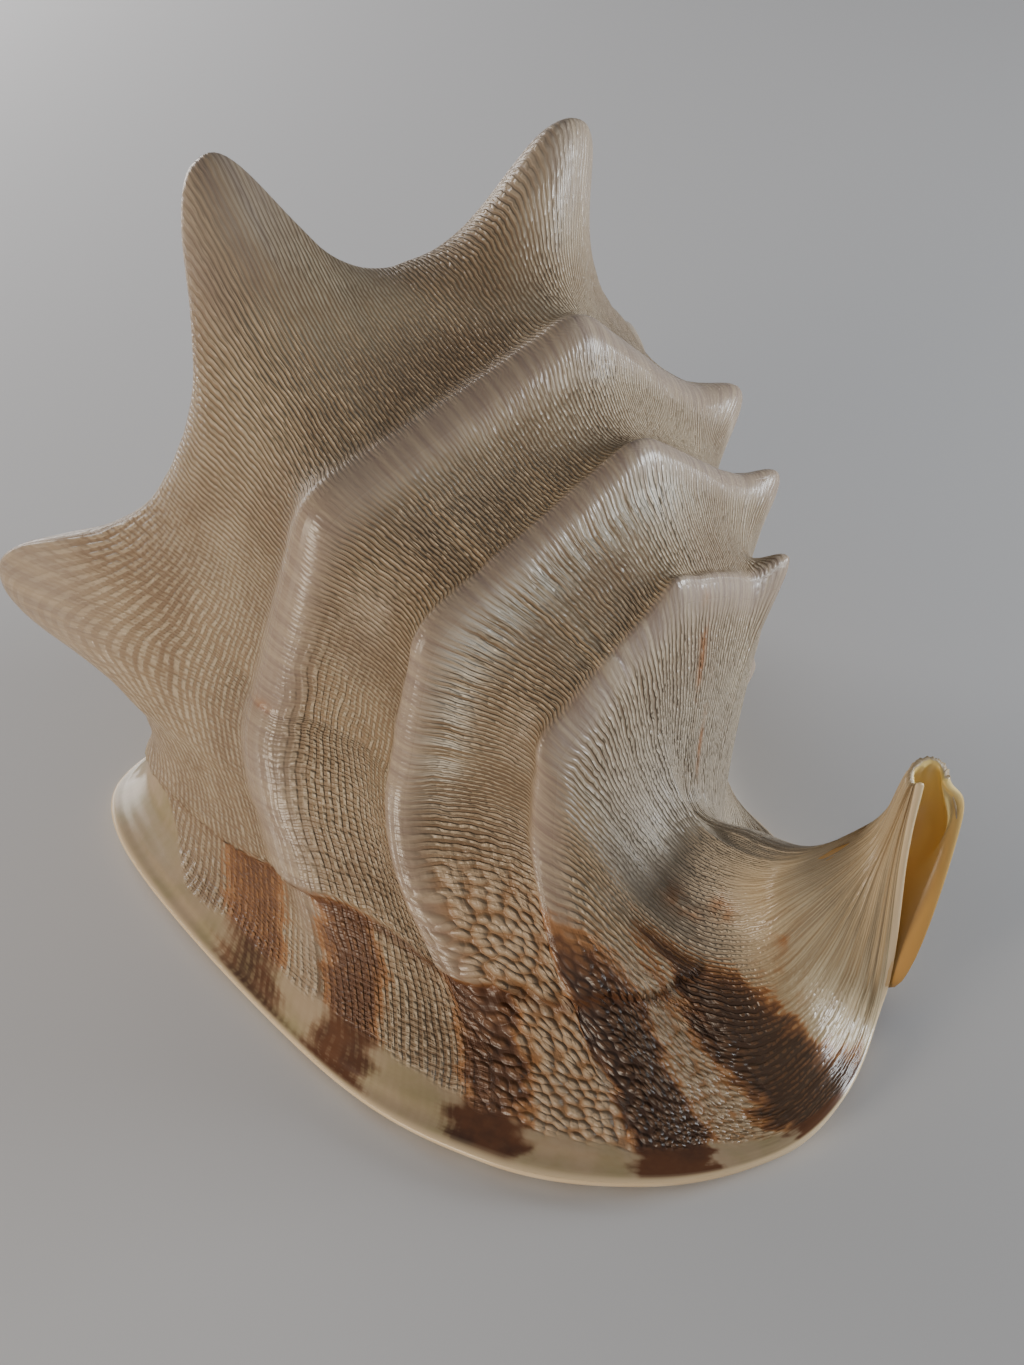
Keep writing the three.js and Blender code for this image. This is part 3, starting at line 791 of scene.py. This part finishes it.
def outside_marks(angle, station):
    """Marks of the outside, by name."""
    horn = np.max(horn_sizes(angle, station), axis=0)
    spiral = smooth_step(52, 82, angle) * (1 - smooth_step(1.8, 2.2, station))
    low_spiral = 0.7 * smooth_step(92, 112, angle) * (1 - smooth_step(3.9, 4.6, station))
    past_scar = angle - along_line(SCAR, station)
    past_strip = angle - along_line(STRIP, station) + 0.8 * value_noise(station * 9, angle * 0, 7)
    on_scar = smooth_step(-0.4, 0.2, station) * (1 - smooth_step(3.6, 4.2, station))
    below_ridge = bell(station - 2.22, 0.11)
    return {
        "thread": thread_phase(angle, station),
        "turn": angle,
        "spiral": np.maximum(spiral, low_spiral),
        "crest": crest_share(angle, station) * (0.25 + 0.75 * relief_strength(angle)),
        "coarse": coarse_share(angle, station),
        "brown": brown_share(angle, station),
        "strip": smooth_step(-1.0, 1.0, past_strip),
        "shade": bell(past_scar - 0.8, 0.9) * on_scar,
        "fringe": below_ridge * smooth_step(-40, 0, angle) * (1 - smooth_step(70, 100, angle)),
        "fan": smooth_step(4.3, 5.6, station + 0.012 * (angle - 60)),
        "tip": smooth_step(0.3, 0.8, horn),
        "calm": 1 - smooth_step(-0.2, 1.1, station),
        "neck": smooth_step(2.9, 3.8, station) * (1 - smooth_step(70, 95, angle)),
        "rust": rust_share(angle, station),
        "edge": smooth_step(LIP_EDGE_ANGLE - 2.5, LIP_EDGE_ANGLE, angle),
    }


def under_marks(station, width):
    """Marks of the rims and the mouth side, by name. station is a column of stations."""
    lip_edge = OUTSIDE_COLUMNS + len(RIM_TURNS) + 1 + LIP_COLUMNS
    place = np.arange(OUTSIDE_COLUMNS, width) - lip_edge
    near = np.where(place < 0, bell(place, 5), bell(place, 8))[None]
    open_share = smooth_step(-0.2, 0.4, station) * (1 - smooth_step(3.5, 4.1, station))
    teeth = np.where(place < 0, toothed(station, TEETH), toothed(station, FOLDS))
    return {
        "glaze": smooth_step(-1.4, -0.5, station),
        "edge": np.exp(-np.arange(width - OUTSIDE_COLUMNS) / 6)[None],
        "gold": smooth_step(4.2, 5.2, station),
        # Painted shade, strongest at the mouth's edge and fading away from it.
        "hollow": 0.8 * near * open_share,
        "tooth": np.clip(teeth, 0, 1),
    }


def loop_marks(outer, angle, station, width):
    """Marks of every point of the loops: first the outside, then the rims and the mouth side."""
    marks = np.zeros((len(outer), width, len(MARKS)))
    columns = {name: number for number, name in enumerate(MARKS)}
    for name, values in outside_marks(angle, station).items():
        marks[:, :OUTSIDE_COLUMNS, columns[name]] = values
    for name, values in under_marks(station[:, :1], width).items():
        marks[:, OUTSIDE_COLUMNS:, columns[name]] = values
    back = plain_surface(station[:, 0], np.array([20.0]))[:, 0]
    steps = np.linalg.norm(np.diff(back, axis=0), axis=1)
    along = np.concatenate([[0], np.cumsum(steps)])
    marks[:, :, columns["along"]] = along[:, None]
    return marks


# ---------------------------------------------------------------- Blender objects
MM = 0.001


def welded(points, faces):
    """The faces with points in the same place as one point, and without the empty faces."""
    _, first, same = np.unique(points.round(7), axis=0, return_index=True, return_inverse=True)
    numbers = first[same.reshape(-1)].tolist()
    faces = [list(dict.fromkeys(numbers[corner] for corner in face)) for face in faces]
    return [face for face in faces if len(face) > 2]


def make_shell():
    builder = shell_mesh_data()
    points = (np.concatenate(builder.points) - CENTRE) * MM
    points[:, 2] = np.maximum(points[:, 2], 0)
    marks = np.concatenate(builder.marks)
    faces = welded(points, builder.faces)
    used = np.unique(np.concatenate([np.array(face) for face in faces]))
    renumbered = np.full(len(points), -1)
    renumbered[used] = np.arange(len(used))
    mesh = bpy.data.meshes.new("shell_surface")
    mesh.from_pydata(points[used].tolist(), [], [[int(renumbered[i]) for i in face] for face in faces])
    for number, name in enumerate(MARKS):
        attribute = mesh.attributes.new(name, "FLOAT", "POINT")
        attribute.data.foreach_set("value", marks[used, number].astype(np.float32))
    mesh.validate()
    mesh.shade_smooth()
    shell = bpy.data.objects.new("shell_surface", mesh)
    bpy.context.scene.collection.objects.link(shell)
    return shell


# ---------------------------------------------------------------- materials
class Nodes:
    """Short ways to add shader nodes and join them."""

    def __init__(self, material):
        material.use_nodes = True
        self.tree = material.node_tree
        self.tree.nodes.clear()

    def add(self, kind, **settings):
        node = self.tree.nodes.new(kind)
        for name, value in settings.items():
            setattr(node, name, value)
        return node

    def put(self, value, socket):
        if isinstance(value, bpy.types.NodeSocket):
            self.tree.links.new(value, socket)
        else:
            socket.default_value = value

    def mark(self, name):
        return self.add("ShaderNodeAttribute", attribute_name=name).outputs["Fac"]

    def math(self, operation, first, second=0.0, third=0.0):
        node = self.add("ShaderNodeMath", operation=operation)
        for value, socket in zip((first, second, third), node.inputs):
            self.put(value, socket)
        return node.outputs[0]

    def steps(self, value, low, high, to_low=0.0, to_high=1.0):
        node = self.add("ShaderNodeMapRange", interpolation_type="SMOOTHSTEP")
        for given, socket in zip((value, low, high, to_low, to_high), node.inputs):
            self.put(given, socket)
        return node.outputs[0]

    def mix(self, share, first, second, blend="MIX"):
        node = self.add("ShaderNodeMix", data_type="RGBA", blend_type=blend)
        self.put(share, node.inputs[0])
        self.put(first, node.inputs[6])
        self.put(second, node.inputs[7])
        return node.outputs[2]

    def place(self, x, y, z):
        node = self.add("ShaderNodeCombineXYZ")
        for value, socket in zip((x, y, z), node.inputs):
            self.put(value, socket)
        return node.outputs[0]

    def noise(self, vector, scale, detail=3.0, roughness=0.55, flat=False):
        node = self.add("ShaderNodeTexNoise", noise_dimensions="2D" if flat else "3D")
        self.put(vector, node.inputs["Vector"])
        node.inputs["Scale"].default_value = scale
        node.inputs["Detail"].default_value = detail
        node.inputs["Roughness"].default_value = roughness
        return node.outputs["Fac"]

    def cells(self, vector, scale, feature="SMOOTH_F1", smooth=0.3):
        node = self.add("ShaderNodeTexVoronoi", feature=feature, voronoi_dimensions="2D")
        self.put(vector, node.inputs["Vector"])
        node.inputs["Scale"].default_value = scale
        if feature == "SMOOTH_F1":
            node.inputs["Smoothness"].default_value = smooth
        return node.outputs["Distance"]

    def bump(self, height, distance, strength, normal=None):
        node = self.add("ShaderNodeBump")
        self.put(height, node.inputs["Height"])
        node.inputs["Distance"].default_value = distance
        self.put(strength, node.inputs["Strength"])
        if normal is not None:
            self.put(normal, node.inputs["Normal"])
        return node.outputs["Normal"]


def colour(red, green, blue):
    """Linear colour from 0-255 screen values."""
    def linear(value):
        share = value / 255
        return share / 12.92 if share <= 0.04045 else ((share + 0.055) / 1.055) ** 2.4

    return linear(red), linear(green), linear(blue), 1.0


CREAM = colour(204, 186, 158)
SAND = colour(178, 156, 128)
TAN = colour(156, 130, 100)
GROOVE = colour(128, 102, 76)
CARAMEL = colour(170, 118, 72)
BROWN = colour(104, 66, 42)
CHOCOLATE = colour(62, 40, 30)
LILAC = colour(146, 126, 116)
IVORY = colour(190, 170, 146)
OLIVE = colour(158, 144, 106)
HORN_GREY = colour(150, 134, 126)
PEACH = colour(234, 208, 168)
FAN_LIGHT = colour(214, 192, 152)
FAN_DARK = colour(168, 140, 102)
WHITE = colour(232, 224, 208)
OCHRE = colour(170, 104, 44)
GOLD = colour(238, 208, 130)
AMBER = colour(206, 156, 86)
# Painted shade: the dark colour of the hollow and of the mouth side next to the mouth.
HOLLOW_SHADE = colour(96, 56, 30)
GLAZE = colour(224, 196, 160)


def thread_pattern(n):
    """Raised growth threads, wavy and beaded, with wide crests and narrow grooves."""
    thread, along = n.mark("thread"), n.mark("along")
    slow = n.place(n.math("MULTIPLY", n.mark("turn"), 0.05), n.math("MULTIPLY", along, 0.04), 0.0)
    quick = n.place(n.math("MULTIPLY", thread, 0.35), n.math("MULTIPLY", along, 0.3), 0.0)
    sway = n.math("MULTIPLY", n.math("SUBTRACT", n.noise(slow, 1.0, 2.0, flat=True), 0.5), 2.2)
    sway = n.math("MULTIPLY_ADD", n.math("SUBTRACT", n.noise(quick, 1.0, 1.0, flat=True), 0.5), 0.55, sway)
    place = n.math("ADD", thread, sway)
    wave = n.steps(n.math("SINE", n.math("MULTIPLY", place, 2 * np.pi)), -0.8, 0.5)
    beads = n.cells(n.place(place, n.math("MULTIPLY", along, 0.5), 0.0), 1.0)
    bead = n.steps(beads, 0.2, 0.7, 1.0, 0.0)
    return n.math("MULTIPLY", wave, n.math("MULTIPLY_ADD", bead, 0.5, 0.5))


def bead_pattern(n):
    """Rows of small beads that run round the whorl near the lip."""
    along = n.mark("along")
    wander = n.place(n.math("MULTIPLY", n.mark("turn"), 0.06), n.math("MULTIPLY", along, 0.06), 0.0)
    shift = n.math("MULTIPLY", n.noise(wander, 1.0, 2.0, flat=True), 2.0)
    rows = n.math("ADD", n.math("MULTIPLY", along, 1 / 1.8), shift)
    row = n.steps(n.math("SINE", n.math("MULTIPLY", rows, 2 * np.pi)), -0.7, 0.6)
    cells = n.cells(n.place(rows, n.math("MULTIPLY", n.mark("turn"), 0.95), 0.0), 1.0)
    return n.math("MULTIPLY", row, n.steps(cells, 0.15, 0.65, 1.0, 0.25))


def grain_pattern(n):
    """Coarse grains in staggered rows around the old lip."""
    bend = n.place(n.math("MULTIPLY", n.mark("turn"), 0.08), n.math("MULTIPLY", n.mark("along"), 0.05), 0.0)
    shift = n.math("MULTIPLY", n.noise(bend, 1.0, 2.0, flat=True), 2.0)
    across = n.math("MULTIPLY_ADD", n.mark("turn"), 0.62, shift)
    cells = n.cells(n.place(across, n.math("MULTIPLY", n.mark("along"), 0.3), 0.0), 1.0, smooth=0.15)
    return n.steps(cells, 0.15, 0.75, 1.0, 0.0)


def blended(n, share, first, second):
    """A plain number between two others."""
    kept = n.math("MULTIPLY", first, n.math("SUBTRACT", 1.0, share))
    return n.math("MULTIPLY_ADD", second, share, kept)


def surface_pattern(n):
    pattern = blended(n, n.math("MULTIPLY", n.mark("spiral"), 0.75), thread_pattern(n), bead_pattern(n))
    return blended(n, n.math("MULTIPLY", n.mark("coarse"), 0.9), pattern, grain_pattern(n))


def worn_and_shaded_colour(n, where, pattern, rough_part):
    """Cream crests and tan grooves, whiter on the neck, smooth lilac on the ridges. Because they follow the
    bump pattern, the pale crests and tan grooves are partly worn colour and partly painted highlight and
    painted shade.
    """
    patches = n.steps(n.noise(where, 26.0, 5.0, 0.6), 0.34, 0.66)
    high = n.mix(patches, SAND, CREAM)
    low = n.mix(patches, GROOVE, TAN)
    # Partly painted shade and highlight: darker where the bump pattern is low, paler where it is high.
    base = n.mix(n.steps(pattern, 0.08, 0.7), low, high)
    base = n.mix(n.math("MULTIPLY", n.math("SUBTRACT", 1.0, rough_part), 0.6), base, high)
    # More caramel in the grooves between the grains, partly painted shade.
    grainy = n.math("MULTIPLY", n.mark("coarse"), n.math("MULTIPLY_ADD", pattern, -0.25, 0.5))
    base = n.mix(grainy, base, CARAMEL)
    base = n.mix(n.math("MULTIPLY", n.mark("neck"), 0.3), base, WHITE)
    turn, along = n.mark("turn"), n.mark("along")
    lines = n.place(n.math("MULTIPLY", turn, 0.55), n.math("MULTIPLY", along, 0.02), 0.0)
    bands = n.noise(lines, 1.0, 4.0, 0.65, flat=True)
    banded = n.steps(bands, 0.25, 0.8)
    base = n.mix(n.math("MULTIPLY", n.mark("tip"), 0.6), base, n.mix(banded, HORN_GREY, IVORY))
    base = n.mix(n.math("MULTIPLY", n.mark("crest"), 0.85), base, n.mix(banded, LILAC, IVORY))
    streaks = n.place(n.math("MULTIPLY", turn, 1.3), n.math("MULTIPLY", along, 0.05), 0.0)
    fringe = n.math("MULTIPLY", n.mark("fringe"), n.steps(n.noise(streaks, 1.0, 2.0, flat=True), 0.42, 0.58))
    base = n.mix(n.math("MULTIPLY", fringe, 0.8), base, WHITE)
    fan = n.place(n.math("MULTIPLY", turn, 0.9), n.math("MULTIPLY", along, 0.03), 0.0)
    fan_colour = n.mix(n.steps(n.noise(fan, 1.0, 4.0, 0.6, flat=True), 0.35, 0.68), FAN_DARK, FAN_LIGHT)
    return n.mix(n.math("MULTIPLY", n.mark("fan"), 0.8), base, fan_colour)


def stained_and_shaded_colour(n, where, base, pattern):
    """Brown blotches with caramel borders, rust stains and the painted shadow line under the old lip. Inside
    the blotches the colour also follows the bump pattern: painted shade in the grooves, and a painted
    highlight of caramel on the raised parts.
    """
    ragged = n.math("SUBTRACT", n.noise(where, 170.0, 4.0, 0.65), 0.5)
    brown = n.math("MULTIPLY_ADD", ragged, 0.35, n.mark("brown"))
    # Painted shade: browner where the bump pattern is low.
    brown = n.math("MULTIPLY_ADD", n.math("SUBTRACT", 0.5, pattern), 0.22, brown)
    tint = n.mix(n.steps(brown, 0.38, 0.78), CARAMEL, BROWN)
    tint = n.mix(n.steps(brown, 0.75, 1.15), tint, CHOCOLATE)
    # Painted highlight: lighter caramel on the raised parts of the pattern.
    tint = n.mix(n.math("MULTIPLY", n.steps(pattern, 0.55, 0.95), 0.18), tint, CARAMEL)
    base = n.mix(n.math("MULTIPLY", n.steps(brown, 0.12, 0.5), 0.92), base, tint)
    rust = n.math("MULTIPLY", n.mark("rust"), n.steps(n.noise(where, 90.0, 4.0, 0.6), 0.4, 0.62))
    base = n.mix(n.math("MULTIPLY", rust, 0.75), base, OCHRE)
    return n.mix(n.math("MULTIPLY", n.mark("shade"), 0.85), base, BROWN), brown


# The canal's lining turns from amber to gold between these lengths along the shell.
GOLD_FROM = 290.0
GOLD_TO = 345.0


def glossy_colour(n, where, base, brown):
    """The smooth strip inside the rim, the rim, the mouth side and the canal's lining, with painted shade on
    the mouth side next to the mouth and dark painted shade over the whole hollow.
    """
    cloudy = n.steps(n.noise(where, 60.0, 4.0), 0.35, 0.65)
    strip = n.mix(n.steps(brown, 0.1, 0.8), n.mix(cloudy, OLIVE, SAND), n.mix(cloudy, CHOCOLATE, BROWN))
    base = n.mix(n.math("MULTIPLY", n.mark("strip"), 0.88), base, strip)
    under = n.mix(n.math("MULTIPLY", cloudy, 0.5), GLAZE, IVORY)
    # Painted shade: the mouth side darkens towards the mouth's opening, and the whole hollow is painted
    # dark.
    under = n.mix(n.mark("hollow"), under, HOLLOW_SHADE)
    under = n.mix(n.mark("tooth"), under, WHITE)
    under = n.mix(n.mark("gold"), under, n.mix(n.steps(n.mark("along"), GOLD_FROM, GOLD_TO), AMBER, GOLD))
    base = n.mix(n.mark("glaze"), base, under)
    return n.mix(n.mark("edge"), base, PEACH)


def shell_material():
    material = bpy.data.materials.new("shell")
    n = Nodes(material)
    where = n.add("ShaderNodeTexCoord").outputs["Object"]
    pattern = surface_pattern(n)
    smooth = n.math("MAXIMUM", n.mark("glaze"), n.mark("strip"))
    rough_part = n.math("SUBTRACT", 1.0, smooth)
    for name, share in (("crest", 0.85), ("tip", 0.55), ("fan", 0.75), ("calm", 0.4)):
        rough_part = n.math("MULTIPLY", rough_part, n.math("MULTIPLY_ADD", n.mark(name), -share, 1.0))
    base = worn_and_shaded_colour(n, where, pattern, rough_part)
    base, brown = stained_and_shaded_colour(n, where, base, pattern)
    base = glossy_colour(n, where, base, brown)
    shader = n.add("ShaderNodeBsdfPrincipled")
    n.put(base, shader.inputs["Base Color"])
    n.put(n.math("MULTIPLY_ADD", rough_part, 0.16, 0.24), shader.inputs["Roughness"])
    height = n.math("MULTIPLY", pattern, n.math("MULTIPLY_ADD", n.mark("coarse"), 0.35, 1.0))
    n.put(n.bump(height, 0.001, rough_part), shader.inputs["Normal"])
    output = n.add("ShaderNodeOutputMaterial")
    n.tree.links.new(shader.outputs[0], output.inputs["Surface"])
    return material


def floor_material():
    material = bpy.data.materials.new("floor")
    n = Nodes(material)
    shader = n.add("ShaderNodeBsdfPrincipled")
    shader.inputs["Base Color"].default_value = colour(214, 214, 216)
    shader.inputs["Roughness"].default_value = 0.9
    output = n.add("ShaderNodeOutputMaterial")
    n.tree.links.new(shader.outputs[0], output.inputs["Surface"])
    return material


# ---------------------------------------------------------------- floor, lights and camera
def make_floor():
    half = 3.0
    corners = [(-half, -half, 0), (half, -half, 0), (half, half, 0), (-half, half, 0)]
    mesh = bpy.data.meshes.new("floor")
    mesh.from_pydata(corners, [], [[0, 1, 2, 3]])
    floor = bpy.data.objects.new("floor", mesh)
    floor.data.materials.append(floor_material())
    bpy.context.scene.collection.objects.link(floor)


CAMERA_AZIMUTH = 60.185
CAMERA_ELEVATION = 41.859
CAMERA_ROLL = -6.863
CAMERA_DISTANCE = 668.5
CAMERA_ASIDE = 21.471
CAMERA_UP = -29.632
LENS = 55.8


def camera_axes():
    a, e, r = radians(CAMERA_AZIMUTH), radians(CAMERA_ELEVATION), radians(CAMERA_ROLL)
    back = np.array([np.sin(a) * np.cos(e), -np.cos(a) * np.cos(e), np.sin(e)])
    level = np.array([np.cos(a), np.sin(a), 0])
    above = np.cross(back, level)
    right = np.cos(r) * level + np.sin(r) * above
    up = -np.sin(r) * level + np.cos(r) * above
    return right, up, back


def make_camera():
    right, up, back = camera_axes()
    place = (-CAMERA_ASIDE * right - CAMERA_UP * up + CAMERA_DISTANCE * back - CENTRE) * MM
    camera = bpy.data.cameras.new("camera")
    camera.sensor_fit = "VERTICAL"
    camera.sensor_height = 36
    camera.lens = LENS
    camera.clip_start = 0.05
    holder = bpy.data.objects.new("camera", camera)
    matrix = Matrix([list(row) for row in np.stack([right, up, back], axis=1)]).to_4x4()
    matrix.translation = Vector(place)
    holder.matrix_world = matrix
    bpy.context.scene.collection.objects.link(holder)
    bpy.context.scene.camera = holder


# Softboxes: place in view of the camera (right, up, back), size, power and colour.
LIGHTS = [
    ((0.9, 0.2, 0.1), 0.35, 9.0, (0.92, 0.97, 1.0)),
    ((-0.85, -0.35, 0.6), 0.35, 7.0, (1.0, 0.87, 0.7)),
    ((-0.7, 0.7, -0.45), 0.6, 7.0, (1.0, 0.97, 0.94)),
]
SKY = (0.86, 0.88, 0.92, 1.0)
SKY_STRENGTH = 0.24


def make_lights():
    right, up, back = camera_axes()
    for number, (place, size, power, tint) in enumerate(LIGHTS):
        light = bpy.data.lights.new("softbox_%d" % number, "AREA")
        light.size = size
        light.energy = power
        light.color = tint
        where = Vector(place[0] * right + place[1] * up + place[2] * back)
        holder = bpy.data.objects.new("softbox_%d" % number, light)
        holder.location = where
        holder.rotation_euler = (-where).to_track_quat("-Z", "Y").to_euler()
        bpy.context.scene.collection.objects.link(holder)
    world = bpy.data.worlds.new("sky")
    world.use_nodes = True
    background = world.node_tree.nodes["Background"]
    background.inputs["Color"].default_value = SKY
    background.inputs["Strength"].default_value = SKY_STRENGTH
    bpy.context.scene.world = world


def main():
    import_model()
    shell = make_shell()
    shell.data.materials.append(shell_material())
    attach(shell, "root")
    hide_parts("shell")
    make_floor()
    make_lights()
    make_camera()


main()
